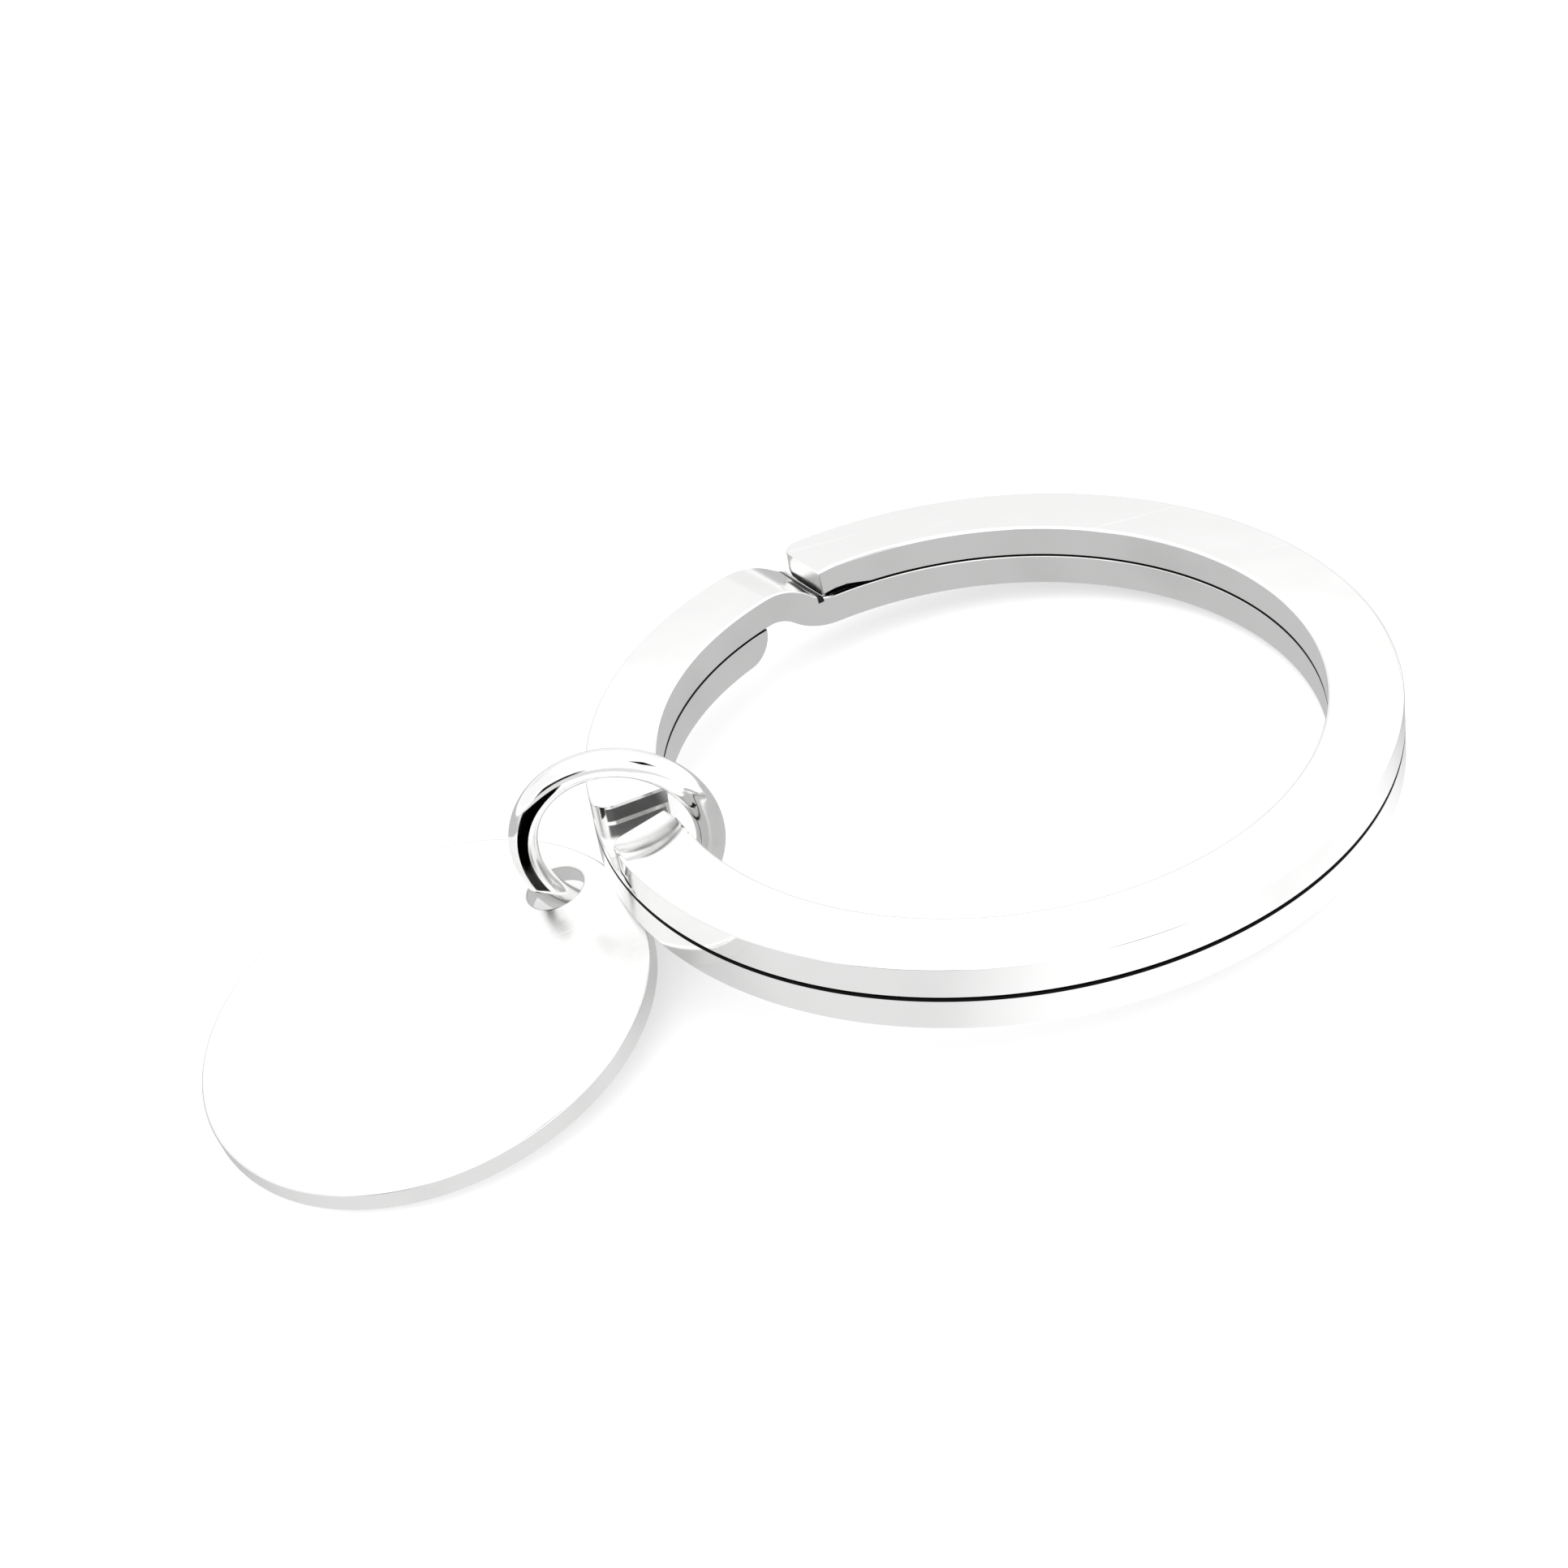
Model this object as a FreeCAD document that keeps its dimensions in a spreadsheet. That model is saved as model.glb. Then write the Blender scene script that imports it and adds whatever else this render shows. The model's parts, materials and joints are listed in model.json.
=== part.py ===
"""Split key ring with a round link and a disc tag, lying on a flat surface.

Millimetres, +Z up. The origin is the centre of the split ring's opening, +X points away from the tag.
The split ring is made of two flat rings, each cut open, one on the other: the lower turn is cranked up
into a bridge and ends in a thin tongue, and the upper turn is scarfed onto that tongue. The split ring's
tag side leans on the tag's rim, so the whole ring is tilted about Y.
"""
import FreeCAD, Part
import os
from math import asin, cos, sin

from FreeCAD import Placement, Rotation, Vector

# name: (value, what it is). Lengths in mm, angles in degrees, counted round the ring from +X.
SIZES = {
    "ring_outer_dia": (35.0, "outside of both turns"),
    "strip_width": (3.15, "radial width of the flat strip"),
    "strip_thick": (1.53, "thickness of one turn"),
    "crank_middle": (109.0, "angle at the middle of the lower turn's crank"),
    "crank_length": (4.2, "run of the crank along the strip"),
    "lower_end": (117.5, "free end of the lower turn, under the bridge"),
    "bridge_end": (178.5, "shoulder at the end of the bridge"),
    "upper_start": (185.7, "tip of the upper turn on the tongue"),
    "scarf_end": (195.7, "where the tongue's slope runs out"),
    "upper_end": (105.2, "free end of the upper turn, beside the crank"),
    "tongue_thick": (0.62, "thickness of the tongue at the bridge"),
    "end_corner": (0.8, "plan radius of the outer corner of each end"),
    "relief_run": (1.3, "run of the slope under the upper turn's free end"),
    "relief_rise": (0.35, "rise of that slope at the tip"),
    "wire_dia": (1.25, "wire of the link"),
    "link_inner_dia": (6.7, "inside of the link"),
    "link_offset": (0.82, "link centre outwards of the strip's middle line"),
    "link_yaw": (14.0, "turn of the link's plane about Z"),
    "link_gap": (0.08, "butt seam between the link's ends"),
    "link_seam": (305.0, "place of the seam round the link, up from its inner side"),
    "tag_dia": (20.0, "disc tag"),
    "tag_thick": (1.0, "thickness of the tag"),
    "tag_hole_play": (1.3, "how much wider the tag's hole is than the wire"),
    "tag_hole_inset": (2.15, "hole centre to the tag's edge"),
    "tag_turn": (29.0, "direction of the hole from the tag's centre"),
    "wire_slant": (36.0, "how far below the link's middle the tag hangs on it"),
    "rest_gap": (0.25, "clearance where the split ring lies over the tag"),
}

DEGREE = 3.141592653589793 / 180
MID = "(sizes.ring_outer_dia - sizes.strip_width) / 2"
INNER = "(sizes.ring_outer_dia / 2 - sizes.strip_width)"
LINK_R = "((sizes.link_inner_dia + sizes.wire_dia) / 2)"
LINK_OUT = "(sizes.link_inner_dia / 2 + sizes.wire_dia)"
HOLE_R = "(sizes.tag_dia / 2 - sizes.tag_hole_inset)"
HANG = f"({LINK_OUT} - {LINK_R} * sin(sizes.wire_slant * 1 deg))"
TAG_TILT = f"asin(({HANG} - sizes.tag_thick / 2) / (sizes.tag_dia / 2 + {HOLE_R}))"
TAG_TOP = (f"(sizes.tag_dia / 2 * (1 + cos(sizes.tag_turn * 1 deg)) * sin({TAG_TILT})"
           " + sizes.tag_thick + sizes.rest_gap)")
RING_TILT = f"asin({TAG_TOP} / sizes.ring_outer_dia)"
FLOOR = f"(-sizes.ring_outer_dia / 2 * sin({RING_TILT}) - sizes.strip_thick * cos({RING_TILT}))"
LINK_X = f"(-({MID} + sizes.link_offset) * cos({RING_TILT}))"
LINK_Z = f"({FLOOR} + {LINK_OUT})"

doc = FreeCAD.newDocument("split_key_ring")
sheet = doc.addObject("Spreadsheet::Sheet", "sizes")


def fill_sheet():
    """Write every driving dimension into the sheet, one row each."""
    for row, (name, (value, meaning)) in enumerate(SIZES.items(), start=1):
        sheet.set(f"A{row}", name)
        sheet.set(f"B{row}", str(value))
        sheet.set(f"C{row}", meaning)
        sheet.setAlias(f"B{row}", name)
    doc.recompute()


def bind(feature, **expressions):
    """Bind properties to expressions; a double underscore stands for the dot of a sub-property."""
    for name, expression in expressions.items():
        feature.setExpression(name.replace("__", "."), expression)
    return feature


def turned(feature, angle):
    """Turn a feature about Z by an expression in degrees."""
    feature.Placement = Placement(Vector(), Rotation(Vector(0, 0, 1), 1))
    return bind(feature, Placement__Rotation__Angle=f"({angle}) * 1 deg")


def cylinder(name, radius, height, base="0", start=None, span=None):
    """A cylinder about Z, or a sector of one from a start angle over a span."""
    feature = bind(doc.addObject("Part::Cylinder", name), Radius=radius, Height=height)
    if span is not None:
        bind(feature, Angle=f"({span}) * 1 deg")
        turned(feature, start)
    return bind(feature, Placement__Base__z=base)


def cut(name, base, tool):
    feature = doc.addObject("Part::Cut", name)
    feature.Base, feature.Tool = base, tool
    return feature


def common(name, base, tool):
    feature = doc.addObject("Part::Common", name)
    feature.Base, feature.Tool = base, tool
    return feature


def fuse(name, *shapes):
    feature = doc.addObject("Part::MultiFuse", name)
    feature.Shapes = list(shapes)
    feature.Refine = True
    return feature


def strip(name, start, span, base="0", height="sizes.strip_thick"):
    """Part of a flat ring: a sector of the strip, square at both ends."""
    solid = cylinder(name + "_disc", "sizes.ring_outer_dia / 2", height, base, start, span)
    hole = cylinder(name + "_hole", INNER, f"({height}) * 3", f"({base}) - ({height})")
    return cut(name, solid, hole)


def profile_bar(name, outline, angle):
    """A bar that crosses the strip radially: an outline of (along, height) points, straight or smooth.

    Args:
        name: Name of the bar.
        outline: List of (curve kind, points), the points as (along, height) in mm, closed by the last.
        angle: Name of the sheet's angle where along is zero; along grows anticlockwise.
    """
    edges = []
    for kind, points in outline:
        vectors = [Vector(0, along, height) for along, height in points]
        if kind == "line":
            edges += [Part.makeLine(a, b) for a, b in zip(vectors, vectors[1:])]
        else:
            edges.append(Part.Arc(*vectors).toShape())
    face = Part.Face(Part.Wire(edges))
    bar = doc.addObject("Part::Feature", name)
    bar.Shape = face.extrude(Vector(sheet.ring_outer_dia, 0, 0))
    return turned(bar, f"sizes.{angle}")


def crank_curve(run, rise, offset, foot):
    """Two equal tangent arcs that climb one level, set off square to the strip's middle line.

    Args:
        run: Length of the climb.
        rise: Height of the climb.
        offset: Distance from the middle line, upwards.
        foot: Height of the middle line below the climb.
    """
    half_run, half_rise = run / 2, rise / 2
    radius = (half_run ** 2 + half_rise ** 2) / (2 * half_rise)
    slope = asin(half_run / radius)
    below, above = radius - offset, radius + offset
    joint = (-offset * sin(slope), foot + half_rise + offset * cos(slope))
    low = [(-half_run, foot + offset),
           (-half_run + below * sin(slope / 2), foot + radius - below * cos(slope / 2)), joint]
    high = [joint, (half_run - above * sin(slope / 2), foot + rise - radius + above * cos(slope / 2)),
            (half_run, foot + rise + offset)]
    return low, high


def flipped(points):
    return list(reversed(points))


# Half the sector that holds the crank, in degrees: the climb's half run seen at the inner edge.
CRANK_HALF = f"(asin(sizes.crank_length / 2 / {INNER}) / 1 deg + 0.2)"


def crank():
    """The crank: the strip carried up by its own thickness, between two flat stretches."""
    run, thick = sheet.crank_length, sheet.strip_thick
    end = run * 1.5  # more flat on each side of the climb than the sector needs
    low, high = crank_curve(run, thick, -thick / 2, thick / 2)
    low_top, high_top = crank_curve(run, thick, thick / 2, thick / 2)
    bar = profile_bar("crank_bar", [
        ("line", [(-end, 0), low[0]]), ("arc", low), ("arc", high),
        ("line", [high[-1], (end, thick), (end, 2 * thick), high_top[-1]]),
        ("arc", flipped(high_top)), ("arc", flipped(low_top)),
        ("line", [low_top[0], (-end, thick), (-end, 0)]),
    ], "crank_middle")
    sector = strip("crank_sector", f"sizes.crank_middle - {CRANK_HALF}", f"2 * {CRANK_HALF}",
                   height="sizes.strip_thick * 2")
    return common("crank", sector, bar)


def scarf_bar():
    """What the tongue fills of the upper level: level from the bridge, then down to the seam."""
    run = sheet.ring_outer_dia / 2 * (sheet.scarf_end - sheet.upper_start) * DEGREE
    back = sheet.ring_outer_dia / 2 * (sheet.upper_start - sheet.bridge_end + 2) * DEGREE
    low, high = sheet.strip_thick, sheet.strip_thick + sheet.tongue_thick
    return profile_bar("scarf_bar", [
        ("line", [(0, low), (-run, high), (-run - back, high), (-run - back, low), (0, low)]),
    ], "scarf_end")


def end_corner(name, angle, side, base):
    """The waste at the outer corner of a strip's end.

    Args:
        name: Name of the waste solid.
        angle: Name of the sheet's angle of the end face.
        side: 1 when the strip lies anticlockwise of its end, -1 when clockwise.
        base: Height expression of the waste's foot.
    """
    radius, outer = sheet.end_corner, sheet.ring_outer_dia / 2
    across = outer - radius
    along = (across ** 2 - radius ** 2) ** 0.5
    centre = Vector(along, side * radius, 0)
    heading = centre * (1 / across)
    on_face, on_rim = Vector(along, 0, 0), heading * outer
    bulge = centre + (on_face - centre + on_rim - centre).normalize() * radius
    far = outer + radius
    edges = [
        Part.Arc(on_face, bulge, on_rim).toShape(),
        Part.makeLine(on_rim, heading * far),
        Part.makeLine(heading * far, Vector(far, -side * radius, 0)),
        Part.makeLine(Vector(far, -side * radius, 0), Vector(along, -side * radius, 0)),
        Part.makeLine(Vector(along, -side * radius, 0), on_face),
    ]
    waste = doc.addObject("Part::Feature", name)
    waste.Shape = Part.Face(Part.Wire(edges)).extrude(Vector(0, 0, 3 * sheet.strip_thick))
    turned(waste, f"sizes.{angle}")
    return bind(waste, Placement__Base__z=base)


def tilt_with_ring(piece):
    """Lift the tag side of a piece of the split ring and put the opening's centre at the origin."""
    piece.Placement = Placement(Vector(), Rotation(Vector(0, 1, 0), 1))
    return bind(piece, Placement__Rotation__Angle=RING_TILT,
                Placement__Base__x=f"-sizes.strip_thick * sin({RING_TILT})",
                Placement__Base__z=f"-sizes.strip_thick * cos({RING_TILT})")


def make_lower_turn(scarf):
    """Flat turn, crank, bridge and tongue, in one strip."""
    flat = strip("lower_flat", "sizes.lower_end",
                 f"360 - sizes.lower_end + sizes.crank_middle - {CRANK_HALF}")
    bridge = strip("bridge", f"sizes.crank_middle + {CRANK_HALF}",
                   f"sizes.bridge_end - sizes.crank_middle - {CRANK_HALF}", "sizes.strip_thick")
    bridge = cut("bridge_trimmed", bridge,
                 end_corner("bridge_corner", "bridge_end", -1, "sizes.strip_thick"))
    tongue = common("tongue", strip("tongue_sector", "sizes.bridge_end - 4",
                                    "sizes.scarf_end - sizes.bridge_end + 4", "sizes.strip_thick"), scarf)
    flat = cut("lower_flat_trimmed", flat, end_corner("lower_corner", "lower_end", 1, "-sizes.strip_thick"))
    return fuse("lower_turn", flat, crank(), bridge, tongue)


def make_upper_turn(scarf):
    """The flat ring on top, from its scarfed tip round to its free end."""
    turn = strip("upper_flat", "sizes.upper_start", "360 - sizes.upper_start + sizes.upper_end",
                 "sizes.strip_thick")
    turn = cut("upper_scarfed", turn, scarf)
    turn = cut("upper_tip", turn, end_corner("tip_corner", "upper_start", 1, "sizes.strip_thick"))
    turn = cut("upper_rounded", turn, end_corner("free_corner", "upper_end", -1, "sizes.strip_thick"))
    low, high = sheet.strip_thick, sheet.strip_thick + sheet.relief_rise
    foot = low - sheet.relief_rise
    relief = profile_bar("relief_bar", [
        ("line", [(-sheet.relief_run, low), (0, high), (sheet.relief_run, high), (sheet.relief_run, foot),
                  (-sheet.relief_run, foot), (-sheet.relief_run, low)]),
    ], "upper_end")
    return cut("upper_turn", turn, relief)


def make_link():
    """Round wire bent into a ring, standing on the floor, with a butt seam."""
    ring = bind(doc.addObject("Part::Torus", "jump_ring"), Radius1=LINK_R, Radius2="sizes.wire_dia / 2",
                Angle3=f"360 deg - asin(sizes.link_gap / {LINK_R})")
    return bind(ring, Placement=f"placement(vector({LINK_X}; 0; {LINK_Z}); "
                                "rotation(-sizes.link_yaw; -sizes.link_seam; 90))")


def make_tag():
    """Disc hung by its hole on the link, its far edge on the floor."""
    disc = cylinder("disc", "sizes.tag_dia / 2", "sizes.tag_thick", "-sizes.tag_thick / 2")
    bind(disc, Placement__Base__x=f"-{HOLE_R}")
    hole = cylinder("tag_hole", "(sizes.wire_dia + sizes.tag_hole_play) / 2", "sizes.tag_thick * 3",
                    "-sizes.tag_thick * 1.5")
    out = f"{LINK_R} * cos(sizes.wire_slant * 1 deg)"
    place = (f"vector({LINK_X} - {out} * cos(sizes.link_yaw * 1 deg); "
             f"{out} * sin(sizes.link_yaw * 1 deg); {FLOOR} + {HANG})")
    tag = cut("tag", disc, hole)
    return bind(tag, Placement=f"placement({place}; rotation(sizes.tag_turn; -{TAG_TILT} / 1 deg; 0))")


def faults(pieces):
    """Name every object that failed to recompute and every piece without a sound solid."""
    found = [obj.Name for obj in doc.Objects if {"Invalid", "Error"} & set(obj.State)]
    found += [obj.Label for obj in pieces
              if obj.Shape.isNull() or not obj.Shape.isValid() or len(obj.Shape.Solids) != 1]
    return found


def main():
    fill_sheet()
    scarf = scarf_bar()
    pieces = [tilt_with_ring(make_lower_turn(scarf)), tilt_with_ring(make_upper_turn(scarf)),
              make_link(), make_tag()]
    doc.recompute()
    broken = faults(pieces)
    if broken:
        raise RuntimeError("failed: " + ", ".join(broken))
    os.makedirs("parts", exist_ok=True)
    for piece in pieces:
        piece.Shape.exportStep(f"parts/{piece.Label}.step")
        print(piece.Label, round(piece.Shape.Volume, 2), piece.Shape.BoundBox)


main()
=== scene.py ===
import json
import logging
import math
from dataclasses import dataclass
from enum import Enum
from typing import ClassVar, Iterable, Optional, Union

import bpy
from mathutils import Euler, Matrix, Vector


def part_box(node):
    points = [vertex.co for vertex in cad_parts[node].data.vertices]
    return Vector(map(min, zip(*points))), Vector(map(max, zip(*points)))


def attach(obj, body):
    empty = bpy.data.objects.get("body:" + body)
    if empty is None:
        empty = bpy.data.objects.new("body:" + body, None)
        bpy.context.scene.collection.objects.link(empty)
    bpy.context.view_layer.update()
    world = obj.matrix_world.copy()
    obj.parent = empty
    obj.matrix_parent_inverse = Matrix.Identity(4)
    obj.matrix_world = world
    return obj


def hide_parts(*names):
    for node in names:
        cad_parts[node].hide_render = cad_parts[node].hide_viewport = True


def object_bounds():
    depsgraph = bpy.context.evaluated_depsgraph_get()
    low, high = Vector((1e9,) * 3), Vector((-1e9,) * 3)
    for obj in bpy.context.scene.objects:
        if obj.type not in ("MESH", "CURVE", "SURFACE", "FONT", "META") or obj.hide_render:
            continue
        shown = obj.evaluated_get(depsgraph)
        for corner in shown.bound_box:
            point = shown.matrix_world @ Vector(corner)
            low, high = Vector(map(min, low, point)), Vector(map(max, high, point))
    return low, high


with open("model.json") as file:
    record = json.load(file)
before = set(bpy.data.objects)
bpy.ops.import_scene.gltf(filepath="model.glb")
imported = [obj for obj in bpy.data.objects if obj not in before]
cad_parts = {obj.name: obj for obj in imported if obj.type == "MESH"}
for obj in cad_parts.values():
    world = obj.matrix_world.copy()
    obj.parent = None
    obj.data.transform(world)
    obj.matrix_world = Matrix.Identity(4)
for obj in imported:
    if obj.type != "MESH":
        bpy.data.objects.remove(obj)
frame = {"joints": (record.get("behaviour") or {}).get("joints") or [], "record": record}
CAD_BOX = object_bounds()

LOG = logging.getLogger("split_key_ring")
MM = 0.001  # one millimetre; pieces are modelled in millimetres and scaled once they are done

Number = Union[int, float]


# --------------------------------------------------------------------------------------------------
# Shader maths
# --------------------------------------------------------------------------------------------------

class Value:
    """A shader socket that takes part in Python expressions."""

    def __init__(self, graph: "Graph", socket: bpy.types.NodeSocket) -> None:
        """Wrap a socket.

        Args:
            graph: The graph that the socket belongs to.
            socket: The output socket.
        """
        self.graph = graph
        self.socket = socket

    def _maths(self, operation: str, first: object, second: object) -> "Value":
        """Add a Math node.

        Args:
            operation: The node's operation.
            first: Left operand, a number or a value.
            second: Right operand, a number or a value.

        Returns:
            The node's result.
        """
        return self.graph.node("ShaderNodeMath", {"operation": operation}, {0: first, 1: second})

    def __add__(self, other: object) -> "Value":
        """Sum.

        Args:
            other: The other operand, a number or a value.

        Returns:
            The sum.
        """
        return self._maths("ADD", self, other)

    def __sub__(self, other: object) -> "Value":
        """Difference.

        Args:
            other: The other operand, a number or a value.

        Returns:
            The difference.
        """
        return self._maths("SUBTRACT", self, other)

    def __rsub__(self, other: object) -> "Value":
        """Difference from a number.

        Args:
            other: The other operand, a number or a value.

        Returns:
            The difference.
        """
        return self._maths("SUBTRACT", other, self)

    def __mul__(self, other: object) -> "Value":
        """Product.

        Args:
            other: The other operand, a number or a value.

        Returns:
            The product.
        """
        return self._maths("MULTIPLY", self, other)

    __radd__ = __add__
    __rmul__ = __mul__

    def between(self, low: Number, high: Number) -> "Value":
        """Map the value smoothly from low..high to 0..1.

        Args:
            low: Value that becomes 0.
            high: Value that becomes 1.

        Returns:
            The mapped value.
        """
        return self.graph.node("ShaderNodeMapRange", {"interpolation_type": "SMOOTHSTEP"},
                               {"Value": self, "From Min": low, "From Max": high})


class Graph:
    """A node tree under construction."""

    def __init__(self, tree: bpy.types.NodeTree) -> None:
        """Empty the tree.

        Args:
            tree: The tree to fill.
        """
        self.tree = tree
        tree.nodes.clear()

    def raw(self, kind: str, settings: Optional[dict] = None, inputs: Optional[dict] = None) -> bpy.types.Node:
        """Add a node, set it up and feed its sockets.

        Args:
            kind: The node's type.
            settings: Its properties, set first.
            inputs: Values or links by socket name or number.

        Returns:
            The node.
        """
        node = self.tree.nodes.new(kind)
        for name, setting in (settings or {}).items():
            setattr(node, name, setting)
        for name, given in (inputs or {}).items():
            if isinstance(given, Value):
                self.tree.links.new(given.socket, node.inputs[name])
            else:
                node.inputs[name].default_value = given
        return node

    def node(self, kind: str, settings: Optional[dict] = None, inputs: Optional[dict] = None,
             output: Union[int, str] = 0) -> Value:
        """Add a node and take one of its outputs.

        Args:
            kind: The node's type.
            settings: Its properties.
            inputs: Values or links of its sockets.
            output: Name or number of the output.

        Returns:
            The output as a value.
        """
        return Value(self, self.raw(kind, settings, inputs).outputs[output])


# --------------------------------------------------------------------------------------------------
# Finishes
# --------------------------------------------------------------------------------------------------

@dataclass(frozen=True)
class Mark:
    """A painted dark patch on a small area of the coil, standing in for shade and dark reflections. Lengths in mm.

    Attributes:
        angle: Place of its middle round the ring, in degrees.
        half: Half its extent round the ring.
        levels: Its lowest and highest level above the seam.
        radii: Its least and greatest distance from the ring's axis.
        depth: How dark it is, 0 to 1.
        skew: Turn of its ends from the radial direction, in degrees.
    """

    angle: float
    half: float
    levels: tuple[float, float]
    radii: tuple[float, float]
    depth: float
    skew: float = 0.0
    FADE: ClassVar[float] = 0.05  # width of the soft rim


@dataclass(frozen=True)
class PolishedSilver:
    """Mirror-polished silver with the faint haze, ripples and hairlines that handling leaves, and, where a seam axis
    is given, painted shade: a near-black line in the seam and dark patches.

    Attributes:
        name: Material name.
        colour: Colour of the clean metal.
        haze_colour: Colour where the polish is hazed.
        smooth: Roughness of the clean polish.
        hazed: Roughness where the polish is hazed.
        haze_size: Width of the hazed patches, in mm.
        ripple: Height of the polishing ripples, in mm.
        ripple_size: Width of the ripples, in mm.
        hairline: Height of the hairline scratches, in mm.
        seam_axis: Axis of the coil whose seam, through the origin, gets a line of painted shade; None without one.
        seam_wide: Half the width of the line of painted shade, in mm, at its mean.
        seam_vary: How much wider it is towards seam_side, in mm.
        seam_drop: How far below the seam its middle lies, in mm.
        seam_deep: How far it reaches in from the walls, in mm.
        seam_side: Direction in which the line is widest, in degrees from +X.
        crank_side: Direction of the crank, where there is no seam, in degrees from +X.
        marks: Painted dark patches on the coil, standing in for shade and dark reflections.
    """

    name: str
    colour: tuple[float, float, float] = (0.96, 0.96, 0.955)
    haze_colour: tuple[float, float, float] = (0.90, 0.90, 0.895)
    smooth: float = 0.06
    hazed: float = 0.18
    haze_size: float = 6.0
    ripple: float = 0.010
    ripple_size: float = 3.0
    hairline: float = 0.0006
    seam_axis: Optional[tuple[float, float, float]] = None
    seam_wide: float = 0.068
    seam_vary: float = 0.042
    seam_drop: float = 0.02
    seam_deep: float = 0.15
    seam_side: float = -115.0
    crank_side: float = 110.0
    marks: tuple[Mark, ...] = ()
    SEAM_FADE: ClassVar[float] = 0.012  # half the width of the line's soft rim, in mm
    WALL_FADE: ClassVar[float] = 0.1  # width of its soft end inside the seam, in mm
    CRANK_CLEAR: ClassVar[tuple[float, float]] = (0.994, 0.989)  # cosines of the half angle kept clear
    # Colour of the painted shade: near-black, for the seam line and the marks.
    PAINTED_SHADE: ClassVar[tuple[float, float, float, float]] = (0.008, 0.008, 0.008, 1.0)
    PAINTED_SHADE_ROUGH: ClassVar[float] = 0.35  # roughness added where shade is painted
    SCRATCH_ROUGH: ClassVar[float] = 0.05  # roughness that a hairline adds
    HAZE_RANGE: ClassVar[tuple[float, float]] = (0.42, 0.72)  # noise where the haze begins and is full
    HAIRLINE_SCALE: ClassVar[tuple[float, float, float]] = (60.0, 4000.0, 900.0)  # noise cells per metre
    HAIRLINE_TURNS: ClassVar[tuple[float, float]] = (0.6, 2.1)  # directions of the hairlines, in radians
    HAIRLINE_RANGE: ClassVar[tuple[float, float]] = (0.70, 0.80)  # noise where a hairline begins and is full

    def material(self) -> bpy.types.Material:
        """Build the material.

        Returns:
            The material.
        """
        made = bpy.data.materials.new(self.name)
        made.use_nodes = True
        graph = Graph(made.node_tree)
        place = graph.node("ShaderNodeTexCoord", output="Object")
        haze = self._noise(graph, place, self.haze_size, 3.0).between(*self.HAZE_RANGE)
        ripples = self._noise(graph, place, self.ripple_size, 1.0)
        scratches = self._scratches(graph, place)
        rough = haze * (self.hazed - self.smooth) + self.smooth + scratches * self.SCRATCH_ROUGH
        colour = graph.node("ShaderNodeMix", {"data_type": "RGBA"},
                            {"Factor": haze, 6: (*self.colour, 1.0), 7: (*self.haze_colour, 1.0)}, 2)
        # Painted shade: a near-black line along the seam between the turns and dark patches on the coil, mixed into
        # the colour.
        if self.seam_axis:
            level = self._along(graph, place, self.seam_axis)
            painted_shade = self._seam(graph, place, level)
            for mark in self.marks:
                painted_shade = painted_shade + self._mark(graph, place, level, mark)
            rough = rough + painted_shade * self.PAINTED_SHADE_ROUGH
            colour = graph.node("ShaderNodeMix", {"data_type": "RGBA"},
                                {"Factor": painted_shade, 6: colour, 7: self.PAINTED_SHADE}, 2)
        relief = ripples * (self.ripple * MM) + scratches * (-self.hairline * MM)
        normal = graph.node("ShaderNodeBump", None, {"Height": relief, "Distance": 1.0, "Strength": 1.0})
        shader = graph.node("ShaderNodeBsdfPrincipled", None,
                            {"Base Color": colour, "Metallic": 1.0, "Roughness": rough, "Normal": normal})
        graph.raw("ShaderNodeOutputMaterial", None, {"Surface": shader})
        return made

    @staticmethod
    def _along(graph: Graph, place: Value, way: Iterable[float]) -> Value:
        """Distance from the origin along a direction.

        Args:
            graph: The graph.
            place: Coordinates.
            way: The direction, a unit vector.

        Returns:
            The distance, in mm.
        """
        dot = graph.raw("ShaderNodeVectorMath", {"operation": "DOT_PRODUCT"}, {0: place, 1: tuple(way)})
        return Value(graph, dot.outputs["Value"]) * (1 / MM)

    @staticmethod
    def _distance(graph: Graph, place: Value) -> Value:
        """Distance from the origin.

        Args:
            graph: The graph.
            place: Coordinates.

        Returns:
            The distance, in mm.
        """
        length = graph.raw("ShaderNodeVectorMath", {"operation": "LENGTH"}, {0: place})
        return Value(graph, length.outputs["Value"]) * (1 / MM)

    @staticmethod
    def _size(graph: Graph, value: Value) -> Value:
        """Value without its sign.

        Args:
            graph: The graph.
            value: The value.

        Returns:
            The size of the value.
        """
        return graph.node("ShaderNodeMath", {"operation": "ABSOLUTE"}, {0: value})

    @staticmethod
    def _round(angle: float) -> tuple[Vector, Vector]:
        """Directions at a place round the ring.

        Args:
            angle: The place, in degrees from +X.

        Returns:
            The outward and the anticlockwise direction, unit vectors.
        """
        turn = math.radians(angle)
        return Vector((math.cos(turn), math.sin(turn), 0.0)), Vector((-math.sin(turn), math.cos(turn), 0.0))

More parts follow.
